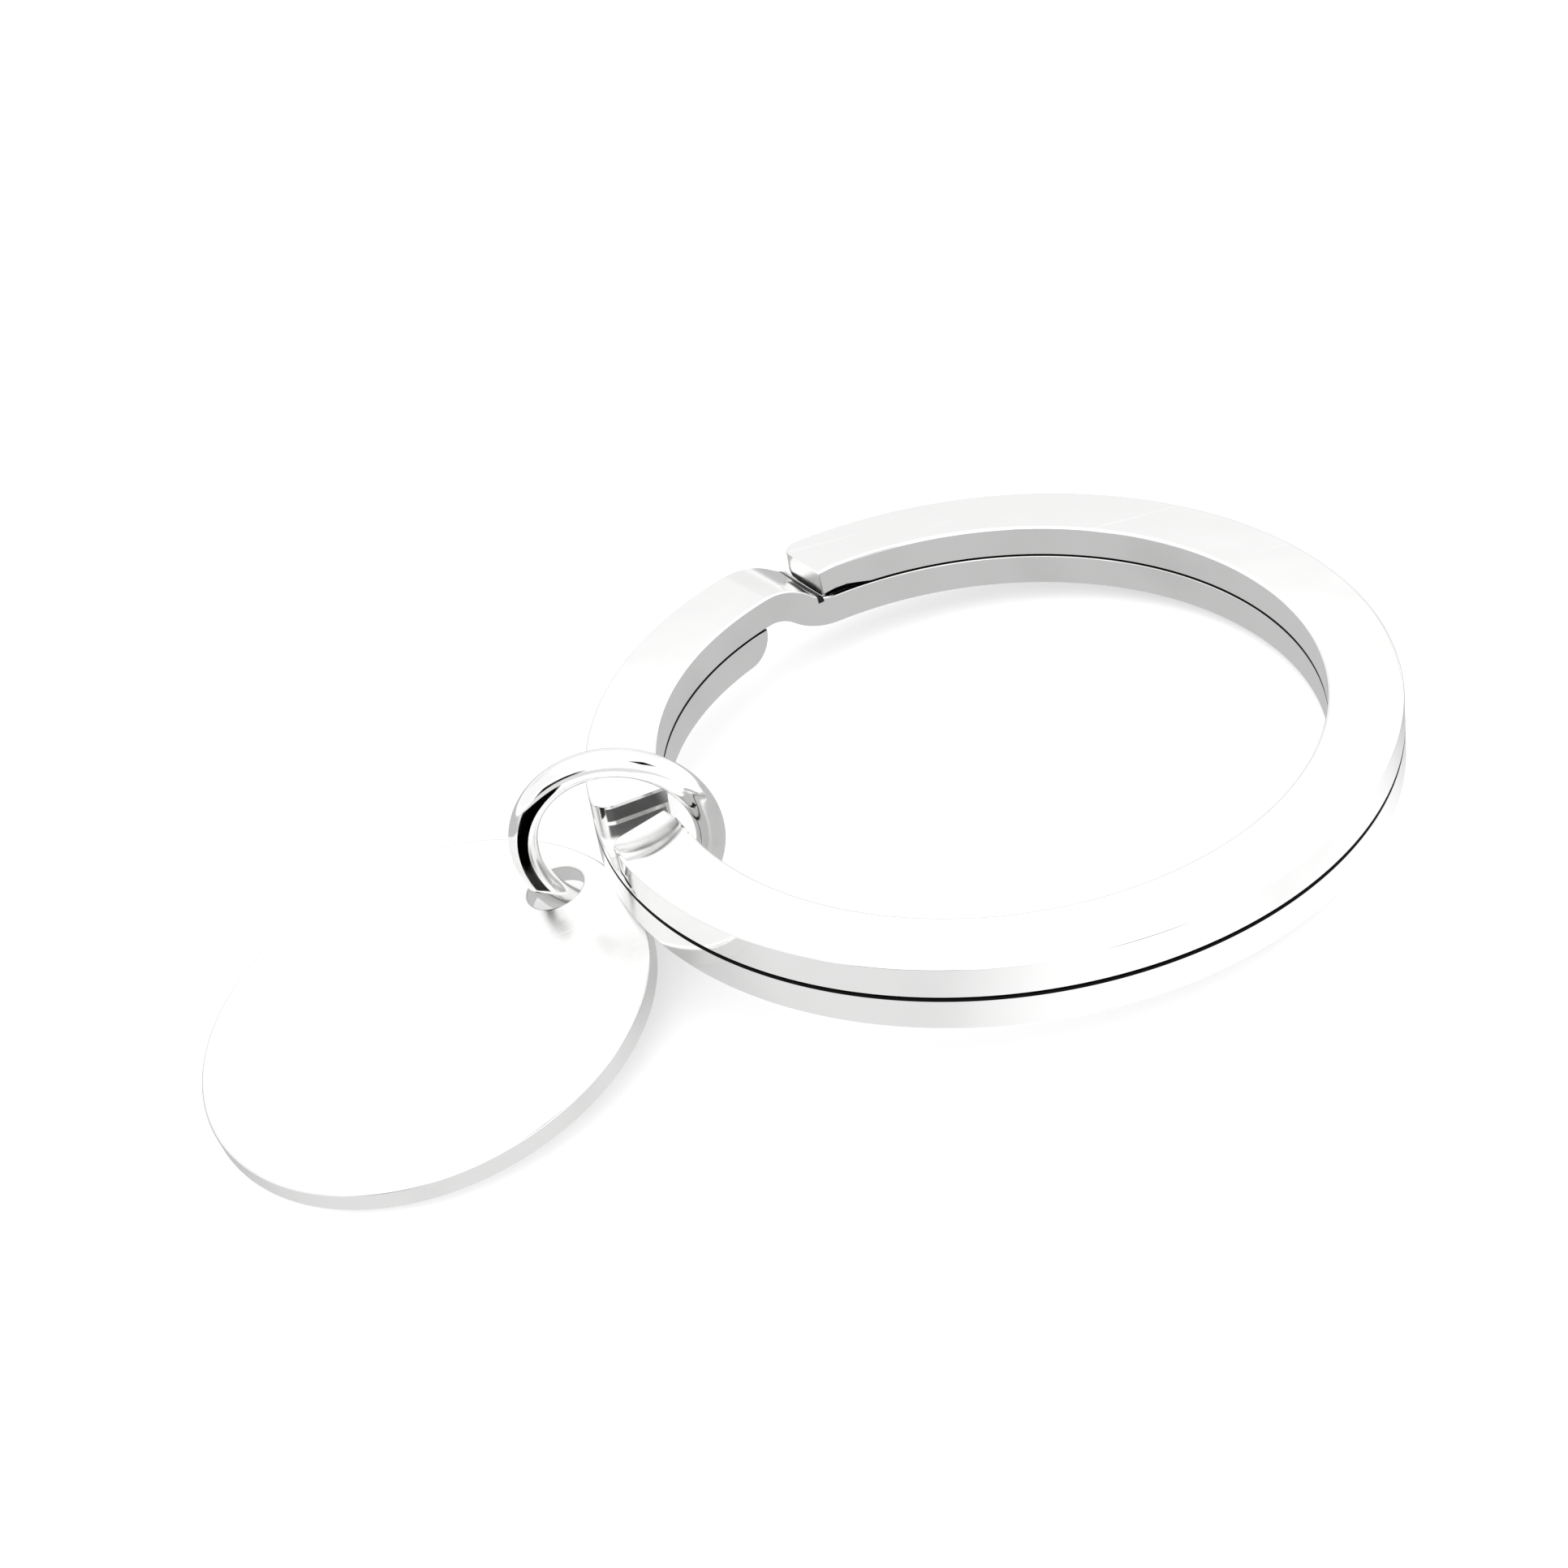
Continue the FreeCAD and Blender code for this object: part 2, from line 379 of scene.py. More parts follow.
    def _seam(self, graph: Graph, place: Value, level: Value) -> Value:
        """Mask of the painted shade in the seam between two turns.

        Args:
            graph: The graph.
            place: Coordinates.
            level: Height above the seam, in mm.

        Returns:
            The mask, 1 in the seam.
        """
        widening = self._along(graph, place, self._round(self.seam_side)[0]) * (self.seam_vary / SplitRing.outer)
        radial = graph.node("ShaderNodeVectorMath", {"operation": "NORMALIZE"}, {0: place})
        facing = self._along(graph, radial, self._round(self.crank_side)[0]) * MM
        away = self._size(graph, level + self.seam_drop)
        middle, half = (SplitRing.inner + SplitRing.outer) / 2, (SplitRing.outer - SplitRing.inner) / 2
        from_middle = self._size(graph, self._distance(graph, place) - middle)
        reach = half - self.seam_deep
        line = (widening + self.seam_wide - away).between(-self.SEAM_FADE, self.SEAM_FADE)
        return line * facing.between(*self.CRANK_CLEAR) * from_middle.between(reach - self.WALL_FADE, reach)

    def _mark(self, graph: Graph, place: Value, level: Value, mark: Mark) -> Value:
        """Mask of one painted dark patch.

        Args:
            graph: The graph.
            place: Coordinates.
            level: Height above the seam, in mm.
            mark: The mark.

        Returns:
            The mask, its depth on the mark.
        """
        out, on = self._round(mark.angle)
        on.rotate(Euler((0.0, 0.0, math.radians(mark.skew))))
        middle = (SplitRing.inner + SplitRing.outer) / 2
        past = self._along(graph, place, on) - on.dot(out) * middle
        distance = self._distance(graph, place)
        mask = self._size(graph, past).between(mark.half + mark.FADE, mark.half)
        mask = mask * self._along(graph, place, out).between(0.0, 1.0)
        for value, (least, most) in ((level, mark.levels), (distance, mark.radii)):
            mask = mask * value.between(least - mark.FADE, least) * value.between(most + mark.FADE, most)
        return mask * mark.depth

    @staticmethod
    def _noise(graph: Graph, place: Value, size: float, detail: float) -> Value:
        """Soft noise.

        Args:
            graph: The graph.
            place: Coordinates.
            size: Width of its patches, in mm.
            detail: Number of finer octaves.

        Returns:
            The noise, 0 to 1.
        """
        return graph.node("ShaderNodeTexNoise", None,
                          {"Vector": place, "Scale": 1 / (size * MM), "Detail": detail, "Roughness": 0.5})

    @classmethod
    def _scratches(cls, graph: Graph, place: Value) -> Value:
        """Sparse hairlines in two directions.

        Args:
            graph: The graph.
            place: Coordinates.

        Returns:
            The mask of the hairlines, 0 to 1.
        """
        masks = []
        for turn in cls.HAIRLINE_TURNS:
            turned = graph.node("ShaderNodeMapping", None,
                                {"Vector": place, "Rotation": (0.0, 0.0, turn), "Scale": cls.HAIRLINE_SCALE})
            lines = graph.node("ShaderNodeTexNoise", None, {"Vector": turned, "Scale": 1.0, "Detail": 1.0})
            masks.append(lines.between(*cls.HAIRLINE_RANGE))
        return masks[0] + masks[1]


@dataclass(frozen=True)
class PaperFloor:
    """Seamless white studio paper.

    Attributes:
        name: Material name.
        colour: Colour of the paper.
        glow: Light that comes through the paper from below.
        rough: Roughness of the paper.
        fibre: Height of the fibres, in metres.
        fibre_scale: Fibres per metre.
    """

    name: str = "studio_paper"
    colour: tuple[float, float, float] = (0.93, 0.93, 0.93)
    glow: float = 0.3
    rough: float = 0.75
    fibre: float = 0.00002
    fibre_scale: float = 900.0

    def material(self) -> bpy.types.Material:
        """Build the material.

        Returns:
            The material.
        """
        made = bpy.data.materials.new(self.name)
        made.use_nodes = True
        graph = Graph(made.node_tree)
        place = graph.node("ShaderNodeTexCoord", output="Object")
        fibre = graph.node("ShaderNodeTexNoise", None, {"Vector": place, "Scale": self.fibre_scale, "Detail": 4.0})
        normal = graph.node("ShaderNodeBump", None, {"Height": fibre, "Distance": self.fibre, "Strength": 0.3})
        shader = graph.node("ShaderNodeBsdfPrincipled", None,
                            {"Base Color": (*self.colour, 1.0), "Roughness": self.rough, "Normal": normal,
                             "Emission Color": (1.0, 1.0, 1.0, 1.0), "Emission Strength": self.glow})
        graph.raw("ShaderNodeOutputMaterial", None, {"Surface": shader})
        return made


# --------------------------------------------------------------------------------------------------
# Modelling helpers
# --------------------------------------------------------------------------------------------------

def deselect() -> None:
    """Leave object mode with nothing selected."""
    if bpy.context.object and bpy.context.object.mode != "OBJECT":
        bpy.ops.object.mode_set(mode="OBJECT")
    bpy.ops.object.select_all(action="DESELECT")


def activate(piece: bpy.types.Object) -> None:
    """Make one object the selected and active one.

    Args:
        piece: The object.
    """
    deselect()
    piece.select_set(True)
    bpy.context.view_layer.objects.active = piece


def soften(piece: bpy.types.Object, width: float, segments: int = 4, angle: float = 32.0) -> None:
    """Round the sharp edges and shade the piece smooth, with its flats kept flat.

    Args:
        piece: The object.
        width: Width of the rounding, in the piece's units.
        segments: Number of faces across the rounding.
        angle: Edges sharper than this are rounded, in degrees.
    """
    activate(piece)
    bevel = piece.modifiers.new("rounding", "BEVEL")
    bevel.width = width
    bevel.segments = segments
    bevel.limit_method = "ANGLE"
    bevel.angle_limit = math.radians(angle)
    bevel.use_clamp_overlap = True
    bpy.ops.object.modifier_apply(modifier=bevel.name)
    bpy.ops.object.shade_smooth()
    weighted = piece.modifiers.new("flats", "WEIGHTED_NORMAL")
    weighted.weight = 100
    bpy.ops.object.modifier_apply(modifier=weighted.name)


def settle(piece: bpy.types.Object, matrix: Matrix) -> None:
    """Scale a piece from millimetres, put it in place and apply that to its mesh.

    Args:
        piece: The object, modelled in millimetres.
        matrix: Its place and turn, in metres.
    """
    piece.matrix_world = matrix @ Matrix.Scale(MM, 4)
    activate(piece)
    bpy.ops.object.transform_apply(location=True, rotation=True, scale=True)


def dress(piece: bpy.types.Object, material: bpy.types.Material) -> None:
    """Give a piece one material.

    Args:
        piece: The object.
        material: The material.
    """
    piece.data.materials.clear()
    piece.data.materials.append(material)


def join(name: str, pieces: list[bpy.types.Object]) -> bpy.types.Object:
    """Join objects into the first one.

    Args:
        name: Name of the result.
        pieces: The objects.

    Returns:
        The joined object.
    """
    activate(pieces[0])
    for piece in pieces[1:]:
        piece.select_set(True)
    bpy.ops.object.join()
    pieces[0].name = name
    return pieces[0]


class Side(Enum):
    """The flat sides of a strip."""

    TOP = "high"
    UNDERSIDE = "low"


@dataclass
class Strip:
    """A flat strip bent on edge round the Z axis, built section by section.

    The section being worked on always lies along +X, and the finished part is turned back out of the way.

    Attributes:
        inner: Inner radius, in mm.
        outer: Outer radius, in mm.
        angle: Angle of the section being worked on, in degrees round the ring.
        low: Height of the underside at the start, in mm.
        high: Height of the top at the start, in mm.
        edge: Rounding of the long edges, in mm.
        step: Angle of one face along the strip, in degrees.
        keeps: The side that stays level where the thickness changes.
    """

    inner: float
    outer: float
    angle: float
    low: float
    high: float
    edge: float = 0.0
    step: float = 1.5
    keeps: Side = Side.TOP

    SKEW_RUN: ClassVar[float] = 0.9
    SKEW_STEPS: ClassVar[int] = 4
    CORNER_STEPS: ClassVar[int] = 8

    @property
    def middle(self) -> float:
        """Radius of the strip's middle line.

        Returns:
            The radius, in mm.
        """
        return (self.inner + self.outer) / 2

    def degrees(self, length: float) -> float:
        """Angle that a length along the middle line takes up.

        Args:
            length: The length, in mm.

        Returns:
            The angle, in degrees.
        """
        return math.degrees(length / self.middle)

    def end_angle(self, corner: float) -> float:
        """Angle that a dressed end with a rounded corner takes up.

        Args:
            corner: Radius of the corner, in mm.

        Returns:
            The angle, in degrees.
        """
        return self.degrees(self.SKEW_RUN + corner)

    def open(self, name: str, share: float = 1.0, narrow: float = 0.0) -> "Strip":
        """Draw the section at the starting end, with its corners rounded, and enter edit mode.

        Args:
            name: Name of the object.
            share: Thickness at the starting end as a share of the strip's, measured from the side that it keeps.
            narrow: How much narrower than the strip the section is, on its outer side.

        Returns:
            The strip.
        """
        deselect()
        wide = self.outer - self.inner - narrow
        middle = (self.inner + wide / 2, 0.0, (self.low + self.high) / 2)
        bpy.ops.mesh.primitive_plane_add(size=1, location=middle, rotation=(math.pi / 2, 0.0, 0.0))
        self.piece = bpy.context.object
        self.piece.name = name
        self.piece.scale = (wide, self.high - self.low, 1.0)
        bpy.ops.object.transform_apply(location=True, rotation=True, scale=True)
        bpy.ops.object.mode_set(mode="EDIT")
        bpy.ops.mesh.select_all(action="SELECT")
        if self.edge:
            bpy.ops.mesh.bevel(offset=self.edge, segments=4, affect="VERTICES")
            bpy.ops.mesh.select_all(action="SELECT")
        self._thicken(share)
        return self

    def _thicken(self, ratio: float) -> None:
        """Change the section's thickness and keep one of its sides.

        Args:
            ratio: New thickness as a share of the present one.
        """
        held = getattr(self, self.keeps.value)
        bpy.ops.transform.resize(value=(1.0, 1.0, ratio), center_override=(0.0, 0.0, held))
        self.low, self.high = held + (self.low - held) * ratio, held + (self.high - held) * ratio

    @staticmethod
    def _rotate(angle: float, centre: tuple[float, float, float], axis: str = "Z") -> None:
        """Turn the selection anticlockwise.

        Args:
            angle: Angle, in degrees.
            centre: Point turned about.
            axis: Axis turned about.
        """
        bpy.ops.transform.rotate(value=-math.radians(angle), orient_axis=axis, orient_type="GLOBAL",
                                 center_override=centre)

    def _rotate_rest(self, angle: float, centre: tuple[float, float, float]) -> None:
        """Turn all but the section.

        Args:
            angle: Angle, in degrees.
            centre: Point turned about.
        """
        bpy.ops.mesh.select_all(action="INVERT")
        self._rotate(angle, centre)
        bpy.ops.mesh.select_all(action="INVERT")

    def _rotate_all(self, angle: float, centre: tuple[float, float, float]) -> None:
        """Turn everything, the section with it.

        Args:
            angle: Angle, in degrees.
            centre: Point turned about.
        """
        self._rotate(angle, centre)
        self._rotate_rest(angle, centre)

    def _advance(self, angle: float) -> None:
        """Extrude the section and turn the rest of the strip back from it.

        Args:
            angle: Angle advanced, in degrees.
        """
        bpy.ops.mesh.extrude_region()
        self._rotate_rest(-angle, (0.0, 0.0, 0.0))
        self.angle += angle

    def sweep_to(self, angle: float) -> "Strip":
        """Carry the section round on the level.

        Args:
            angle: Angle reached, in degrees.

        Returns:
            The strip.
        """
        swept = angle - self.angle
        bpy.ops.mesh.spin(steps=max(1, round(swept / self.step)), angle=math.radians(swept),
                          center=(0.0, 0.0, 0.0), axis=(0.0, 0.0, -1.0))
        self._rotate_all(-swept, (0.0, 0.0, 0.0))
        self.angle = angle
        return self

    def climb(self, run: float, rise: float, steps: int = 20) -> "Strip":
        """Carry the section round and up through a crank of two tangent arcs, square to its slope.

        Args:
            run: Length of the crank along the middle line, in mm.
            rise: Height gained, in mm.
            steps: Number of faces along the crank.

        Returns:
            The strip.
        """
        radius = (run ** 2 + rise ** 2) / (4 * rise)

        def lean(share: float) -> float:
            """Slope at a share of the crank's run, in degrees."""
            return math.degrees(math.asin(min(share, 1 - share) * run / radius))

        def level(share: float) -> float:
            """Height reached at a share of the crank's run, in mm."""
            sag = radius * (1 - math.cos(math.radians(lean(share))))
            return sag if share < 0.5 else rise - sag

        for index in range(steps):
            before, after = index / steps, (index + 1) / steps
            self._advance(self.degrees(run) / steps)
            bpy.ops.transform.translate(value=(0.0, 0.0, level(after) - level(before)))
            height = (self.low + self.high) / 2 + level(after)
            self._rotate(lean(after) - lean(before), (self.middle, 0.0, height), "X")
        self.low, self.high = self.low + rise, self.high + rise
        return self

    def thin(self, run: float, ratio: float, steps: int = 10) -> "Strip":
        """Carry the section round while its thickness changes evenly.

        Args:
            run: Length of the taper along the middle line, in mm.
            ratio: Thickness at the end as a share of that at the start.
            steps: Number of faces along the taper.

        Returns:
            The strip.
        """
        for index in range(steps):
            self._advance(self.degrees(run) / steps)
            before, after = (1 + (ratio - 1) * (index + ahead) / steps for ahead in (0, 1))
            self._thicken(after / before)
        return self

    def nose(self, run: float, share: float, steps: int = 8) -> "Strip":
        """Carry the section on from a thin tip to the full thickness, with the underside rounded.

        Args:
            run: Length of the rounding, in mm.
            share: Thickness at the tip as a share of the strip's.
            steps: Number of faces along the rounding.

        Returns:
            The strip.
        """
        for index in range(steps):
            before, after = (math.pi / 2 * (index + ahead) / steps for ahead in (0, 1))
            self._advance(self.degrees(run * (math.cos(before) - math.cos(after))))
            thinner, thicker = (share + (1 - share) * math.sin(turn) for turn in (before, after))
            self._thicken(thicker / thinner)
        return self

    def _corner(self, corner: float, opening: bool) -> None:
        """Carry the section straight on while its outer side follows a rounded corner.

        Args:
            corner: Plan radius of the corner, in mm.
            opening: Whether the strip starts here, and widens, or ends, and narrows.
        """
        full = self.outer - self.inner - corner
        turns = [math.pi / 2 * index / self.CORNER_STEPS for index in range(self.CORNER_STEPS + 1)]
        if not opening:
            turns.reverse()
        for before, after in zip(turns, turns[1:]):
            bpy.ops.mesh.extrude_region()
            on = abs(math.cos(before) - math.cos(after)) * corner
            if opening:
                bpy.ops.mesh.select_all(action="INVERT")
                bpy.ops.transform.translate(value=(0.0, -on, 0.0))
                bpy.ops.mesh.select_all(action="INVERT")
            else:
                bpy.ops.transform.translate(value=(0.0, on, 0.0))
            grown = (full + corner * math.sin(after)) / (full + corner * math.sin(before))
            bpy.ops.transform.resize(value=(grown, 1.0, 1.0), center_override=(self.inner, 0.0, 0.0))
        if opening:
            self.angle += self.degrees(corner)

    def begin(self, name: str, share: float, skew: float, corner: float) -> "Strip":
        """Draw a dressed starting end: skewed in plan, with its outer corner rounded.

        Args:
            name: Name of the object.
            share: Thickness at the end as a share of the strip's.
            skew: Turn of the end face, in degrees; its outer side moves anticlockwise round the ring.
            corner: Plan radius of the outer corner, in mm.

        Returns:
            The strip.
        """
        self.open(name, share, corner)
        self._corner(corner, True)
        self._rotate_all(skew, (self.middle, 0.0, 0.0))
        self._straighten(-skew)
        return self

    def end(self, skew: float, corner: float) -> "Strip":
        """Shape a dressed finishing end, as the starting end is.

        Args:
            skew: Turn of the end face, in degrees; its outer side moves anticlockwise round the ring.
            corner: Plan radius of the outer corner, in mm.

        Returns:
            The strip.
        """
        self._straighten(skew)
        self._rotate_all(-skew, (self.middle, 0.0, 0.0))
        self._corner(corner, False)
        self._rotate_all(skew, (self.middle, 0.0, 0.0))
        return self

    def _straighten(self, turn: float) -> None:
        """Carry the section on over a short run while it turns about its middle.

        Args:
            turn: Angle turned, in degrees.
        """
        for _ in range(self.SKEW_STEPS):
            self._advance(self.degrees(self.SKEW_RUN) / self.SKEW_STEPS)
            self._rotate(turn / self.SKEW_STEPS, (self.middle, 0.0, 0.0))

    def done(self) -> bpy.types.Object:
        """Close the strip and turn it to its place round the ring.

        Returns:
            The object, in millimetres, in the split ring's own frame.
        """
        bpy.ops.mesh.select_all(action="SELECT")
        bpy.ops.mesh.normals_make_consistent(inside=False)
        bpy.ops.object.mode_set(mode="OBJECT")
        self.piece.rotation_euler = (0.0, 0.0, math.radians(self.angle))
        activate(self.piece)
        bpy.ops.object.transform_apply(rotation=True)
        return self.piece


# --------------------------------------------------------------------------------------------------
# The object's assemblies
# --------------------------------------------------------------------------------------------------

@dataclass
class SplitRing:
    """The split ring's two turns. Lengths in mm, angles in degrees round the ring from +X."""

    inner: float = 14.35
    outer: float = 17.5
    thick: float = 1.53
    seam: float = 0.012
    edge: float = 0.11
    corner: float = 0.8
    crank_middle: float = 109.0
    crank_length: float = 4.2
    lower_end: float = 117.5
    bridge_end: float = 178.5
    upper_start: float = 185.7
    scarf_end: float = 195.7
    upper_end: float = 105.2
    tongue_thick: float = 0.62
    shoulder_skew: float = 12.0
    tip_skew: float = 16.0
    relief_run: float = 1.3
    relief_rise: float = 0.27
    free_skew: float = 8.0
    end_edge: float = 0.06
    nose_run: float = 1.3
    nose_share: float = 0.1
    tongue_inset: float = 0.012
    tongue_hidden: float = 3.0
    tongue_feather: float = 0.08
    tongue_edge: float = 0.03
    relief_steps: int = 5
    mark_margin: float = 0.3

    @staticmethod
    def axis() -> Vector:
        """Axis of the ring, as the design states it.

        Returns:
            The axis, a unit vector.
        """
        travel = next(joint for joint in frame["joints"] if joint["name"] == "link_travel")
        return Vector(travel["axis"])

    def place(self) -> Matrix:
        """Place of the ring's own frame: centred on the opening, tilted with the ring's axis.

        Returns:
            The matrix.
        """
        return Matrix.Rotation(math.atan2(self.axis().x, self.axis().z), 4, "Y")

    def marks(self) -> tuple[Mark, ...]:
        """Places on the coil where shade and dark reflections are painted.

        Returns:
            The marks: shoulder face, foot of the free end and the free end's face.
        """
        wall = (self.inner - self.mark_margin, self.outer + self.mark_margin)
        # Painted shade: the shoulder face darkened, the gap under the free end's foot near black and the free end's
        # face greyed.
        return (
            Mark(self.bridge_end, 0.10, (0.74, 1.34), wall, 0.85, self.shoulder_skew),
            Mark(self.upper_end + 0.5, 0.13, (-0.1, 0.34), wall, 0.97, self.free_skew),
            Mark(self.upper_end, 0.03, (0.36, 1.40), wall, 0.50, self.free_skew),
        )

    def lower_turn(self, material: bpy.types.Material) -> bpy.types.Object:
        """Flat turn, crank and bridge in one strip, with the tongue under the bridge's shoulder.

        Args:
            material: The metal.

        Returns:
            The finished piece.
        """
        strip = Strip(self.inner, self.outer, self.lower_end, -self.thick, -self.seam, self.edge)
        strip.open("lower_turn", self.nose_share).nose(self.nose_run, self.nose_share)
        strip.sweep_to(360 + self.crank_middle - strip.degrees(self.crank_length / 2))
        strip.climb(self.crank_length, self.thick)
        strip.sweep_to(360 + self.bridge_end - strip.end_angle(self.corner))
        body = strip.end(self.shoulder_skew, self.corner).done()
        soften(body, self.end_edge)
        inset = self.tongue_inset
        tongue = Strip(self.inner + inset, self.outer - inset, self.bridge_end - self.tongue_hidden,
                       inset / 2, self.tongue_thick, keeps=Side.UNDERSIDE)
        tongue.open("tongue").sweep_to(self.upper_start)
        tongue.thin(tongue.middle * math.radians(self.scarf_end - self.upper_start), self.tongue_feather)
        tongue_piece = tongue.done()
        soften(tongue_piece, self.tongue_edge, 2)
        piece = join("lower_turn_strip", [body, tongue_piece])
        settle(piece, self.place())
        dress(piece, material)
        return piece

    def upper_turn(self, material: bpy.types.Material) -> bpy.types.Object:
        """The turn on top, scarfed onto the tongue at its tip and relieved under its free end.

        Args:
            material: The metal.

        Returns:
            The finished piece.
        """
        full = self.thick - self.seam
        tip = (full - self.tongue_thick) / full
        strip = Strip(self.inner, self.outer, self.upper_start, self.seam, self.thick, self.edge)
        strip.begin("upper_turn", tip, self.tip_skew, self.corner)
        strip.thin(strip.middle * math.radians(self.scarf_end - strip.angle), 1 / tip)
        strip.sweep_to(360 + self.upper_end - strip.end_angle(self.corner) - strip.degrees(self.relief_run))
        strip.thin(self.relief_run, (self.thick - self.relief_rise) / full, self.relief_steps)
        piece = strip.end(self.free_skew, self.corner).done()
        soften(piece, self.end_edge)
        piece.name = "upper_turn_strip"
        settle(piece, self.place())
        dress(piece, material)
        return piece


@dataclass
class Link:
    """The round-wire link. Lengths in mm, angles in degrees."""

    wire: float = 1.25
    inner_dia: float = 6.7
    yaw: float = 14.0
    seam: float = 305.0
    gap: float = 0.08
    edge: float = 0.05
    round_sides: int = 40
    bend_steps: int = 200

    def build(self, material: bpy.types.Material) -> bpy.types.Object:
        """Bend the wire round and stand it up where the CAD link is.

        Args:
            material: The metal.

        Returns:
            The finished piece.
        """
        radius = (self.inner_dia + self.wire) / 2
        deselect()
        bpy.ops.mesh.primitive_circle_add(vertices=self.round_sides, radius=self.wire / 2, fill_type="NGON",
                                          location=(radius, 0.0, 0.0), rotation=(math.pi / 2, 0.0, 0.0))
        piece = bpy.context.object
        piece.name = "jump_ring_wire"
        bpy.ops.object.transform_apply(location=True, rotation=True)
        bpy.ops.object.mode_set(mode="EDIT")
        bpy.ops.mesh.select_all(action="SELECT")
        bpy.ops.mesh.spin(steps=self.bend_steps, angle=math.tau - self.gap / radius, center=(0.0, 0.0, 0.0),
                          axis=(0.0, 0.0, -1.0))
        bpy.ops.mesh.select_all(action="SELECT")
        bpy.ops.mesh.normals_make_consistent(inside=False)
        bpy.ops.object.mode_set(mode="OBJECT")
        soften(piece, self.edge, 2, 60.0)
        low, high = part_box("jump_ring")
        centre = (Vector(low) + Vector(high)) / 2
        turn = Euler((math.pi / 2, -math.radians(self.seam), -math.radians(self.yaw))).to_matrix().to_4x4()
        settle(piece, Matrix.Translation(centre) @ turn)
        dress(piece, material)
        return piece


@dataclass
class Tag:
    """The disc tag. Lengths in mm, angles in degrees."""

    dia: float = 20.0
    thick: float = 1.0
    hole_dia: float = 2.55
    hole_inset: float = 2.15
    turn: float = 29.0
    edge: float = 0.16
    rim_sides: int = 192
    hole_sides: int = 64

    def build(self, material: bpy.types.Material) -> bpy.types.Object:
        """Blank the disc, drill it and lay it where the CAD tag is.

        Args:
            material: The metal.

        Returns:
            The finished piece.
        """
        deselect()
        bpy.ops.mesh.primitive_cylinder_add(vertices=self.rim_sides, radius=self.dia / 2, depth=self.thick)
        piece = bpy.context.object
        piece.name = "tag_disc"
        out = self.dia / 2 - self.hole_inset
        deselect()
        bpy.ops.mesh.primitive_cylinder_add(vertices=self.hole_sides, radius=self.hole_dia / 2, depth=self.thick * 3,
                                            location=(out, 0.0, 0.0))
        drill = bpy.context.object
        activate(piece)
        hole = piece.modifiers.new("hole", "BOOLEAN")
        hole.operation = "DIFFERENCE"
        hole.solver = "EXACT"
        hole.object = drill
        bpy.ops.object.modifier_apply(modifier=hole.name)
        bpy.data.objects.remove(drill)
        soften(piece, self.edge, 4)
        settle(piece, self.place())
        dress(piece, material)
        return piece

    def place(self) -> Matrix:
        """Place of the disc's middle, from the tag's face as the design states it.

        Returns:
            The matrix.
        """
        face = next(mount for mount in frame["record"]["mounts"] if mount["name"] == "tag_face")
        normal = Vector(face["axis"]).normalized()
        along = Vector((math.cos(math.radians(self.turn)), math.sin(math.radians(self.turn)), 0.0))
        along = (along - normal * along.dot(normal)).normalized()
        across = normal.cross(along)
        middle = Vector(face["pos_m"]) - normal * (self.thick / 2 * MM)
        turn = Matrix((along, across, normal)).transposed().to_4x4()
        return Matrix.Translation(middle) @ turn


# --------------------------------------------------------------------------------------------------
# Studio
# --------------------------------------------------------------------------------------------------

class SeenBy(Enum):
    """The rays that a studio surface shows itself to."""

    EYE = "visible_camera"
    REFLECTIONS = "visible_glossy"


